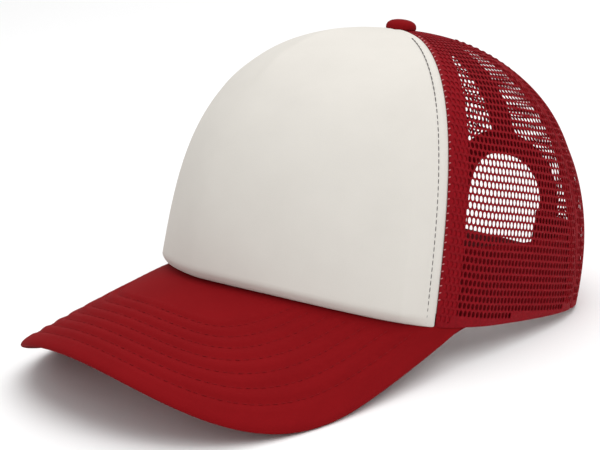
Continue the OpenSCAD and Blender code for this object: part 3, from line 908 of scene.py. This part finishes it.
def rear_edge(f):
    """The rear panel's inner edge: the opening's outline, or the rear seam above it."""
    a = np.linspace(SIDE_ANGLE, 180, 420)
    p = crown(a[None], f[:, None])
    beyond = p[..., 0] - arch_half_width(p[..., 2]) * (p[..., 2] < OPENING_HEIGHT)
    return np.array([np.interp(0, -row, a) if row[-1] < -1e-6 else 180.0 for row in beyond])


def make_nets():
    side = PanelMap(FRONT_ANGLE, lambda f: np.full(f.shape, float(SIDE_ANGLE)))
    rear = PanelMap(SIDE_ANGLE, rear_edge)
    side_shape = net_shape(side, (FRONT_ANGLE, SIDE_ANGLE))
    rear_shape = net_shape(rear, (SIDE_ANGLE, 180))
    for name, mirror in (("left", False), ("right", True)):
        for kind, shape, flat, area in (("side", side_shape, (0.092, 0.172), 0.0073),
                                        ("rear", rear_shape, (0.09, 0.173), 0.0062)):
            net = piece(f"{kind}_net_{name}", shape, NET, [f"mesh_{kind}_{name}"],
                        mirror=mirror, crease=75)


# ---- tapes inside the seams ----

NET_BACK = NET_THICK + 0.06


def tape_shape(direction, low, high, f, cols=9):
    """A tape between two distances beside a direction, in millimetres, with soft puckers."""
    span = np.linspace(low, high, cols)
    aa = direction + np.clip(np.degrees(span / reach_at(direction, f)[:, None]), -24, 24)
    s = arc_lengths(crown(direction, f), 0)[:, None]
    edge = np.abs(np.linspace(-1, 1, cols))[None] ** 3
    pucker = 0.12 * np.sin(s * 1.9) * edge + 0.05 * np.sin(s * 4.3)
    lip = 0.25 * edge ** 4
    sink = seam_sink(aa, f[:, None], direction)
    outer = crown(aa, f[:, None], sink - NET_BACK)
    inner = crown(aa, f[:, None], pucker + lip - NET_BACK - TAPE)
    return sheet(outer, inner)


def make_tapes():
    f = rises_by_length(FRONT_ANGLE, 0.3, 80, 130)
    front = tape_shape(FRONT_ANGLE, 0.8, FRONT_TAPE_WIDTH + 0.5, f)
    f = rises_by_length(SIDE_ANGLE, 0.3, 80, 130)
    side = tape_shape(SIDE_ANGLE, -TAPE_WIDTH / 2, TAPE_WIDTH / 2, f)
    for name, mirror in (("left", False), ("right", True)):
        for kind, shape, width in (("front", front, 0.01), ("side", side, 0.015)):
            tape = piece(f"{kind}_tape_{name}", shape, TAPE_CLOTH, [f"{kind}_seam_tape_{name}"],
                         mirror=mirror)
    start = rise_at(180, OPENING_HEIGHT + BINDING_WIDTH - 2)
    f = rises_by_length(180, start, 80, 90)
    rear = tape_shape(180, -TAPE_WIDTH / 2, TAPE_WIDTH / 2, f, cols=13)
    tape = piece("rear_tape", rear, TAPE_CLOTH, ["rear_seam_tape"])


def make_seam_stitches():
    """Twin rows of stitches that hold the tapes, seen outside on the net."""
    inset = TAPE_WIDTH / 2 - 1.6
    side_f = rises_by_length(SIDE_ANGLE, 0.5, 78, 220)
    rear_f = rises_by_length(180, rise_at(180, OPENING_HEIGHT + BINDING_WIDTH + 2), 78, 140)
    places = ((SIDE_ANGLE, -inset, side_f), (SIDE_ANGLE, inset, side_f), (180, inset, rear_f))
    rows = [inset_stitches(side, *place, 0.1, TAPE_STITCH) for side in (-1, 1) for place in places]
    threads("seam_stitches", rows)


def make_cross_stitches():
    """Small pale stitches across the front seam, which pull the net's edge into shallow scallops."""
    path_f = rises_by_length(FRONT_ANGLE, 1.5, 82, 400)
    s = arc_lengths(crown(FRONT_ANGLE, path_f), 0)
    rows = []
    for at in np.arange(4, s[-1] - 3, 3.1):
        f = np.interp(at + np.array([-0.3, -0.1, 0.1, 0.3]), s, path_f)
        a = FRONT_ANGLE + np.degrees(np.array([-0.1, 0.3, 0.7, 1.1]) / reach_at(FRONT_ANGLE, f))
        for side in (-1, 1):
            line = crown(side * a, f, seam_sink(a, f, FRONT_ANGLE) + 0.1)
            rows.append(stitches(line, outward(side * a, f), CROSS_STITCH))
    piece("front_seam_stitches", joined(*rows), PALE_THREAD)


# ---- binding of the rear opening ----

def arch_path(count):
    """The opening's outline from foot to foot, as sideways and height, with the directions away from it."""
    q = np.linspace(0, 90, 200)
    curve = stacked(OPENING_HALF_WIDTH * cosd(q) ** (2 / ARCH_POWER),
                    ARCH_FOOT + (OPENING_HEIGHT - ARCH_FOOT) * sind(q) ** (2 / ARCH_POWER))
    half = np.concatenate([[[OPENING_HALF_WIDTH, RIM_REAR + 0.4]], curve])
    whole = np.concatenate([half, half[-2::-1] * (-1, 1)])
    s = arc_lengths(whole, 0)
    at = np.linspace(0, s[-1], count)
    even = resampled(whole, s, at)
    run = np.gradient(even, axis=0)
    away = unit(stacked(run[:, 1], -run[:, 0]))
    return even, away, at


def binding_profile():
    """The folded tape's section: distance from the net's edge into the panel, and height over the crown."""
    out, inner, leaf, end = BINDING_STAND, -TAPE_BOTTOM, 0.6, BINDING_WIDTH
    middle, half = (out + inner) / 2, (out - inner) / 2
    q = np.radians(np.linspace(100, 260, 9))
    fold = stacked(0.2 + 1.1 * np.cos(q), middle + half * np.sin(q))
    outer = np.array([[end, 0.04], [end + 0.15, 0.3], [end - 0.1, 0.58], [end - 0.7, 0.72],
                      [end * 0.6, out - 0.18], [end * 0.25, out]])
    back = np.array([[end * 0.25, inner], [end * 0.6, inner + 0.05], [end - 0.7, inner + 0.2],
                     [end - 0.1, inner + 0.3], [end + 0.15, inner + 0.6], [end, -NET_BACK]])
    slot = np.array([[end * 0.5, -NET_BACK - 0.1], [0.3, inner + leaf], [0.3, out - leaf], [end * 0.5, 0.08]])
    return np.concatenate([outer, fold, back, slot])


def make_binding():
    path, away, s = arch_path(200)
    profile = binding_profile()
    curved = smooth((path[:, 1] - ARCH_FOOT + 6) / 12)[:, None]
    ripple = 0.16 * np.sin(s * 2.1)[:, None] * curved * (profile[:, 0] / BINDING_WIDTH)[None] ** 2
    side = path[:, None] + away[:, None] * profile[None, :, :1]
    height = profile[None, :, 1] + ripple * np.sign(profile[None, :, 1] + 0.4)
    sections = rear_point(side[..., 0], side[..., 1], height)
    binding = piece("opening_binding", sweep(sections), TAPE_CLOTH, ["rear_opening_binding"],
                    crease=60)
    rows = []
    for inset, stand_out in ((1.5, BINDING_STAND), (BINDING_WIDTH - 1.4, BINDING_STAND - 0.22)):
        line = path + away * inset
        a, f = rear_place(line[:, 0], line[:, 1])
        rows += [crown_stitches(a, f, out, BINDING_STITCH) for out in (stand_out, -TAPE_BOTTOM)]
    threads("binding_stitches", rows)


# ---- sweatband ----

BAND_CLOSER, BAND_TAIL = 3.1, 152
BAND_END = float(rear_place(np.array(OPENING_HALF_WIDTH + 1.0), np.array(10.0))[0])


def band_depth(a):
    """Depth of the sweatband's hidden face: less behind the net than behind the foam and the strap."""
    turn = np.abs(a)
    return SWEATBAND_TOP - BAND_CLOSER * smooth((turn - FRONT_ANGLE - 5) / 9) * smooth((BAND_TAIL - turn) / 8)


def band_rise(a, up):
    return rise_at(a, rim_height(a) + up)


def sweatband_shape(a):
    """The band with its foot, which turns out to the rim under the panels. Over the visor the foot
    goes on down the visor's inner edge, where all the layers are sewn together."""
    s = arc_lengths(crown(a, 0), 0)
    depth = band_depth(a)
    over_visor = smooth((VISOR_END_ANGLE + 3 - np.abs(a)) / 7)
    q = np.linspace(1, 0.08, 10)[:, None]
    down = over_visor * (0.15 + (2 * VISOR_HALF - 0.9) * q ** 1.6)
    under_panels = crown(a, 0, -(depth - (depth - NET_BACK - 0.3) * q)) - down[..., None] * UP
    seen = crown(a, 0, -(depth + BAND * (1 - q) - (depth - NET_BACK - 0.3) * q)) - down[..., None] * UP
    hidden_foot = under_panels + ((1 - over_visor) * 0.55)[..., None] * UP
    seen_foot = seen - (over_visor * 0.6)[..., None] * UP
    up = np.concatenate([[0.9, 1.6, 2.4], np.linspace(3.6, SWEATBAND_HEIGHT - 0.8, 25), [SWEATBAND_HEIGHT]])
    share = (up / SWEATBAND_HEIGHT)[:, None]
    waves = (0.35 * np.sin(s * 0.11) + 0.25 * np.sin(s * 0.23 + 1)) * np.sin(np.pi * share)
    pucker = 0.12 * np.sin(s * 1.25) * (np.exp(-share * 14) + np.exp(-(1 - share) * 14))
    f = band_rise(a, up[:, None])
    turn = 0.9 * np.exp(-up / 1.2)[:, None]
    outer = crown(a, f, -depth)
    inner = crown(a, f, waves * 0.5 + pucker + turn - depth - BAND)
    return sheet(np.concatenate([hidden_foot, outer]), np.concatenate([seen_foot, inner]))


def make_sweatband():
    a = np.linspace(-BAND_END, BAND_END, 420)
    s = arc_lengths(crown(a, 0), 0)
    band = piece("sweatband_cloth", sweatband_shape(a), BAND_CLOTH, ["sweatband"])
    # The bound edge along the top of the band.
    middle = band_depth(a)[:, None] + BAND / 2
    q = np.radians(np.arange(0, 360, 30))
    ring_up = SWEATBAND_HEIGHT + 0.5 + 1.5 * np.sin(q)
    ring_in = 1.05 * np.cos(q) * (0.92 + 0.08 * np.sin(q)) - middle
    f = band_rise(a[:, None], ring_up)
    sections = crown(a[:, None], f, ring_in + 0.08 * np.sin(s * 1.6)[:, None])
    edging = piece("sweatband_edge", sweep(sections), TAPE_CLOTH, ["sweatband_edging"])
    rows = [crown_stitches(a, band_rise(a, up), -band_depth(a) - BAND, BAND_STITCH)
            for up in (SWEATBAND_HEIGHT - 2.4, 2.2)]
    threads("sweatband_stitches", rows)


# ---- visor ----

VISOR_ROWS = FIRST_ROW + ROW_SPACING * np.arange(STITCH_ROWS)
EDGE_START = 0.94


def edge_distance(place):
    """Distance in plan from places on the visor to its outer edge."""
    edge = visor_edge(np.linspace(0, 1, 700))
    flat = place.reshape(-1, 2)
    flat = stacked(np.abs(flat[:, 0]), flat[:, 1])
    parts = np.array_split(flat, 24)
    nearest = [np.linalg.norm(part[:, None] - edge[None], axis=-1).min(1) for part in parts]
    return np.concatenate(nearest).reshape(place.shape[:-1])


def rim_distance(place):
    """How far places lie outside the crown's rim, in plan."""
    angle = np.degrees(np.arctan2(np.abs(place[..., 0]), -place[..., 1]))
    return np.linalg.norm(place, axis=-1) - plan_radius(angle, 0.0)


GROOVE_DEPTH, GROOVE_WIDTH = 0.5, 1.4
VISOR_FULLNESS, VISOR_PUCKER = 0.2, 0.09


def visor_relief(place):
    """Grooves along the stitched rows, with the cloth a little full between them."""
    d = edge_distance(place)
    near = np.abs(d[..., None] - VISOR_ROWS).min(-1)
    quilted = smooth((d - FIRST_ROW + 5) / 4) * smooth((VISOR_ROWS[-1] + 5 - d) / 4)
    fade = smooth((rim_distance(place) - 1) / 4)
    groove = -GROOVE_DEPTH * np.exp(-(near / GROOVE_WIDTH) ** 2)
    full = VISOR_FULLNESS * (1 - np.cos(2 * np.pi * near / ROW_SPACING)) / 2
    # The thread draws the cloth into small puckers, which run out between the rows.
    along = np.arctan2(place[..., 0], -place[..., 1] - 95) * 60
    ripple = VISOR_PUCKER * np.sin(along * 1.35 + 2.2 * np.sin(d * 0.8)) * np.exp(-(near / 2.2) ** 2)
    return (groove + full + ripple) * quilted * fade


def visor_cover(side):
    u = sind(np.linspace(-90, 90, 251))
    edge = EDGE_START + (1 - EDGE_START) * sind(np.linspace(0, 90, 12))
    v = np.concatenate([np.linspace(0, EDGE_START, 105, endpoint=False), edge])
    rounding = np.sqrt(np.maximum(1 - (np.maximum(v - EDGE_START, 0) / (1 - EDGE_START)) ** 2, 0))
    uu, vv = np.meshgrid(side * u, v)
    place = visor_place(uu, vv)
    outer_height = np.maximum(VISOR_HALF * rounding, 0.08)[:, None]
    inner_height = np.maximum((BOARD / 2 + BOARD_GAP) * rounding, 0.02)[:, None]
    relief = visor_relief(place) * rounding[:, None]
    outer = visor_at(place, side * (outer_height + relief))
    inner = visor_at(place, side * inner_height)
    return sheet(outer, inner)


def make_visor():
    for name, side, node in (("upper", 1, "visor_top_cover"), ("lower", -1, "visor_under_cover")):
        cloth = piece(f"visor_{name}_cloth", visor_cover(side), RED_CLOTH, [node])
    rows = []
    for inset in VISOR_ROWS:
        place = beside_edge(np.linspace(-0.985, 0.985, 500), inset)
        place = place[rim_distance(place) > 1.0]
        for side in (1, -1):
            height = np.full(len(place), side * (VISOR_HALF - GROOVE_DEPTH + 0.06))
            normals = unit(visor_at(place, height + side) - visor_at(place, height))
            rows.append(stitches(visor_at(place, height), normals, VISOR_STITCH))
    threads("visor_row_stitches", rows, ["visor_stitching"])


# ---- button ----

BUTTON_TILT = math.radians(3)
BUTTON_CLOTH = 0.42
DOME_SHARE = 0.72
BUTTON_FOLDS = 15


def make_button():
    """Cloth drawn over a dome: its cap, its rounded shoulder and the edge gathered under it."""
    cols, rows = 96, 34
    turn = 2 * np.pi * np.arange(cols) / cols
    q = np.linspace(0, 1, rows)
    on_cap = np.minimum(q / DOME_SHARE, 1) * np.pi / 2
    tucked = np.maximum(q - DOME_SHARE, 0) / (1 - DOME_SHARE)
    radius = BUTTON_RADIUS * (np.sin(on_cap) ** 0.92 - 0.16 * tucked ** 2) - 0.05
    height = 0.6 + (BUTTON_RISE - 0.6) * np.maximum(np.cos(on_cap), 0) ** 0.72
    height = height - 0.8 * np.sin(tucked * np.pi / 2)
    folds = np.cos(turn * BUTTON_FOLDS + 0.9 * np.sin(turn * 3))[None] * smooth((q - 0.4) / 0.4)[:, None]
    middle = np.array([0, BUTTON_SET_BACK, CROWN_HEIGHT])

    def layer(inset):
        r = np.maximum(radius[:, None] + 0.11 * folds - inset, 0)
        z = height[:, None] - inset * 0.9
        x, y = r * np.cos(turn), r * np.sin(turn)
        return stacked(x, y + z * math.sin(BUTTON_TILT), z) + middle

    outer, inner = layer(0), layer(BUTTON_CLOTH)
    count = rows * cols
    quads = lattice(rows, cols, wrap=True)
    last = (rows - 1) * cols + np.arange(cols)
    hem = stacked(last, np.roll(last, -1), np.roll(last, -1) + count, last + count)[:, ::-1]
    points = both_sides(outer, inner)
    faces = [real_faces(points, quads[:, ::-1]), real_faces(points, quads + count), hem]
    shape = (points, faces, np.tile(outer.reshape(-1, 3)[:, :2], (2, 1)))
    cloth = piece("button_cloth", shape, RED_CLOTH, ["button_cover"], crease=80)


# ---- snap strap ----

STRAP_FOOT = RIM_REAR + 0.6
HINGE_SIDE = OPENING_HALF_WIDTH - 3
STRAP_LOW = rear_point(HINGE_SIDE, STRAP_FOOT, 0.0)
STRAP_HIGH = rear_point(HINGE_SIDE, STRAP_FOOT + STRAP_HEIGHT, 0.0)
STRAP_LEAN = math.atan2(STRAP_HIGH[1] - STRAP_LOW[1], STRAP_HIGH[2] - STRAP_LOW[2])
STRAP_TIP = SNAP_PITCH * (SNAP_HOLES - 1) / 2 + STRAP_HEIGHT / 2 - 1.5
TAIL_LENGTH = 20


def on_strap(x, y, z):
    """Points on the flat strap: x is sideways, y up the strap and z outward."""
    c, s = math.sin(STRAP_LEAN), math.cos(STRAP_LEAN)
    return stacked(x, STRAP_LOW[1] + y * c + z * s, STRAP_LOW[2] + y * s - z * c)


def on_tail(x, y, z):
    """The same on the sewn end, which follows the crown behind the net."""
    flat = on_strap(x, y, z)
    height = STRAP_FOOT + y * math.cos(STRAP_LEAN)
    bent = rear_point(x, height, z)
    share = smooth((x - HINGE_SIDE) / 5)[..., None]
    return flat * (1 - share) + bent * share


SNAP_CENTRES = (np.arange(SNAP_HOLES) - (SNAP_HOLES - 1) / 2) * SNAP_PITCH


def rounded_strap(depth, has_holes):
    """A strap as a closed solid: the outline is filled by a fine grid, and grid faces over a hole are cut."""
    half = STRAP_HEIGHT / 2
    round_at = half - STRAP_TIP
    radius = STUD_RADIUS + 0.5
    along = np.linspace(-STRAP_TIP, HINGE_SIDE + TAIL_LENGTH, 131)
    xx, q = np.meshgrid(along, np.linspace(-1, 1, 31), indexing="ij")
    width = np.where(xx < round_at, np.sqrt(np.maximum(half ** 2 - (xx - round_at) ** 2, 0.02)), half)
    yy = half + q * width
    if has_holes:
        # Points near a hole are drawn on to its edge, so that the cut faces leave a round hole.
        for c in SNAP_CENTRES:
            dx, dy = xx - c, yy - half
            r = np.hypot(dx, dy)
            pull = (r < radius + 0.28) & (r > radius * 0.45)
            scale = np.where(pull, radius / np.maximum(r, 1e-6), 1)
            xx, yy = c + dx * scale, half + dy * scale
    edge = np.minimum(half - np.abs(yy - half), half - np.hypot(np.minimum(xx - round_at, 0), yy - half))
    edge = np.maximum(edge, 0)
    # The edge is rounded on both faces, and a low bead runs beside it and round each hole.
    down = -0.35 * np.exp(-edge / 0.25)
    up = 0.2 * np.exp(-((edge - 1.1) / 0.5) ** 2) + down
    quads = lattice(*xx.shape)[:, ::-1]
    if has_holes:
        to_snap = np.min([np.hypot(xx - c, yy - half) for c in SNAP_CENTRES], 0)
        up = up + 0.28 * np.exp(-((to_snap - radius - 0.5) / 0.35) ** 2)
        quads = quads[to_snap.reshape(-1)[quads].mean(1) > radius * 0.93]
    outer = on_tail(xx, yy, -depth + up)
    inner = on_tail(xx, yy, -depth - STRAP - down)
    edges = np.concatenate([quads[:, [i, (i + 1) % 4]] for i in range(4)])
    walls = border_walls(edges, xx.size)
    points = both_sides(outer, inner)
    uv = np.tile(stacked(xx, yy).reshape(-1, 2), (2, 1))
    faces = [real_faces(points, f) for f in (quads, quads[:, ::-1] + xx.size, walls)]
    return points, faces, uv


def stud_shapes(depth):
    """Mushroom-headed snaps on the inner strap."""
    half = STRAP_HEIGHT / 2
    turn = 2 * np.pi * np.arange(24) / 24
    profile = np.array([[1.5, -0.3], [1.45, 0.6], [1.45, 1.15], [1.85, 1.3],
                        [1.9, 1.55], [1.65, 1.85], [1.0, 2.02], [0.02, 2.08]])
    shapes = []
    for c in SNAP_CENTRES:
        r, z = profile[:, :1], profile[:, 1:] - depth
        x, y = c + r * np.cos(turn), half + r * np.sin(turn)
        faces = [lattice(len(profile), 24, wrap=True)[:, ::-1], np.arange(24)[None, ::-1]]
        shapes.append((on_strap(x, y, z).reshape(-1, 3), faces, stacked(x, y).reshape(-1, 2)))
    return shapes


def make_strap(name, node, tail, depth, mirror):
    """One strap with its sewn end, bent where it leaves the binding."""
    shape = rounded_strap(depth, has_holes=not mirror)
    if mirror:
        shape = joined(shape, *stud_shapes(depth))
    strap = piece(name, shape, STRAP_PLASTIC, [node, tail], body=None, mirror=mirror,
                  crease=40)
    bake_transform(strap)


def make_straps():
    make_strap("snap_strap_with_holes", "hole_strap", "strap_tail_left", HOLE_STRAP_TOP, False)
    make_strap("snap_strap_with_studs", "stud_strap", "strap_tail_right", STUD_STRAP_TOP, True)


TACK_FOOT, TACK_ROWS, TACK_PITCH = 2.5, 23, 0.52


def make_bartacks():
    """Dense stitches across each end of the binding, which hold the straps."""
    rows = []
    for side in (-1, 1):
        for x in (2.0, 8.0):
            for height in TACK_FOOT + np.arange(TACK_ROWS) * TACK_PITCH:
                line = np.linspace([x - 0.9, height], [x + 0.9, height + TACK_PITCH / 2], 8)
                a, f = rear_place(side * (OPENING_HALF_WIDTH + line[:, 0]), line[:, 1])
                rows.append(crown_stitches(a, f, BINDING_STAND, TACK_STITCH))
    threads("bartack_thread", rows, ["strap_bartacks"])


# ---- nodes that stay as the frame has them ----

def finish_kept_nodes():
    for node, material in (("button_shell", METAL), ("button_rivet", METAL), ("visor_board", BOARD_PLASTIC)):
        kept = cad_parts[node]
        kept.data.materials.clear()
        kept.data.materials.append(material)


# ---- studio ----

CAMERA_AZIMUTH, CAMERA_ELEVATION, CAMERA_ROLL = 49.07, 16.88, -3.61
CAMERA_DISTANCE, CAMERA_LENS = 0.8207, 108.54
CAMERA_TARGET = Vector((-0.0056, 0, 0.05105))


def direction(azimuth, elevation):
    a, e = math.radians(azimuth), math.radians(elevation)
    return Vector((math.sin(a) * math.cos(e), -math.cos(a) * math.cos(e), math.sin(e)))


def make_camera():
    back = direction(CAMERA_AZIMUTH, CAMERA_ELEVATION)
    data = bpy.data.cameras.new("camera")
    data.lens = CAMERA_LENS
    data.clip_start = 0.05
    camera = new_object("camera", data)
    camera.location = CAMERA_TARGET + back * CAMERA_DISTANCE
    turn = (-back).to_track_quat("-Z", "Y").to_matrix()
    roll = math.radians(CAMERA_ROLL)
    right, up = turn.col[0].copy(), turn.col[1].copy()
    turn.col[0] = right * math.cos(roll) + up * math.sin(roll)
    turn.col[1] = up * math.cos(roll) - right * math.sin(roll)
    camera.rotation_mode = "QUATERNION"
    camera.rotation_quaternion = turn.to_quaternion()
    bpy.context.scene.camera = camera


def softbox(name, azimuth, elevation, distance, size, power):
    data = bpy.data.lights.new(name, "AREA")
    data.shape = "DISK"
    data.size = size
    data.energy = power
    lamp = new_object(name, data)
    away = direction(azimuth, elevation)
    lamp.location = Vector((0, 0, 0.06)) + away * distance
    lamp.rotation_mode = "QUATERNION"
    lamp.rotation_quaternion = (-away).to_track_quat("-Z", "Y")


WORLD_LIGHT = 0.64
FLOOR_HALF = 4.0
# Each lamp's azimuth, elevation, distance, size and power.
LAMPS = {"key": (88, 50, 1.7, 1.2, 8), "fill": (20, 30, 2.0, 1.6, 0.4), "top": (200, 80, 1.8, 2.0, 18)}


def make_studio():
    scene = bpy.context.scene
    scene.view_settings.view_transform = "Standard"
    world = bpy.data.worlds.new("studio")
    scene.world = world
    world.use_nodes = True
    background = world.node_tree.nodes["Background"]
    background.inputs["Color"].default_value = (1.0, 1.0, 1.0, 1.0)
    background.inputs["Strength"].default_value = WORLD_LIGHT
    n = Nodes("pale_floor", 0.9, 0.1)
    n.between(n.noise(n.solid_place(), 3.0), (0.93, 0.93, 0.93, 1), (0.95, 0.95, 0.95, 1))
    mesh = bpy.data.meshes.new("floor")
    corners = [(x * FLOOR_HALF, y * FLOOR_HALF, 0) for x, y in ((-1, -1), (1, -1), (1, 1), (-1, 1))]
    mesh.from_pydata(corners, [], [(0, 1, 2, 3)])
    mesh.materials.append(n.material)
    new_object("floor", mesh)
    for name, setting in LAMPS.items():
        softbox(name, *setting)


make_camera()
make_studio()
make_front()
make_topstitching()
make_nets()
make_tapes()
make_seam_stitches()
make_cross_stitches()
make_binding()
make_sweatband()
make_visor()
make_button()
make_straps()
make_bartacks()
finish_kept_nodes()
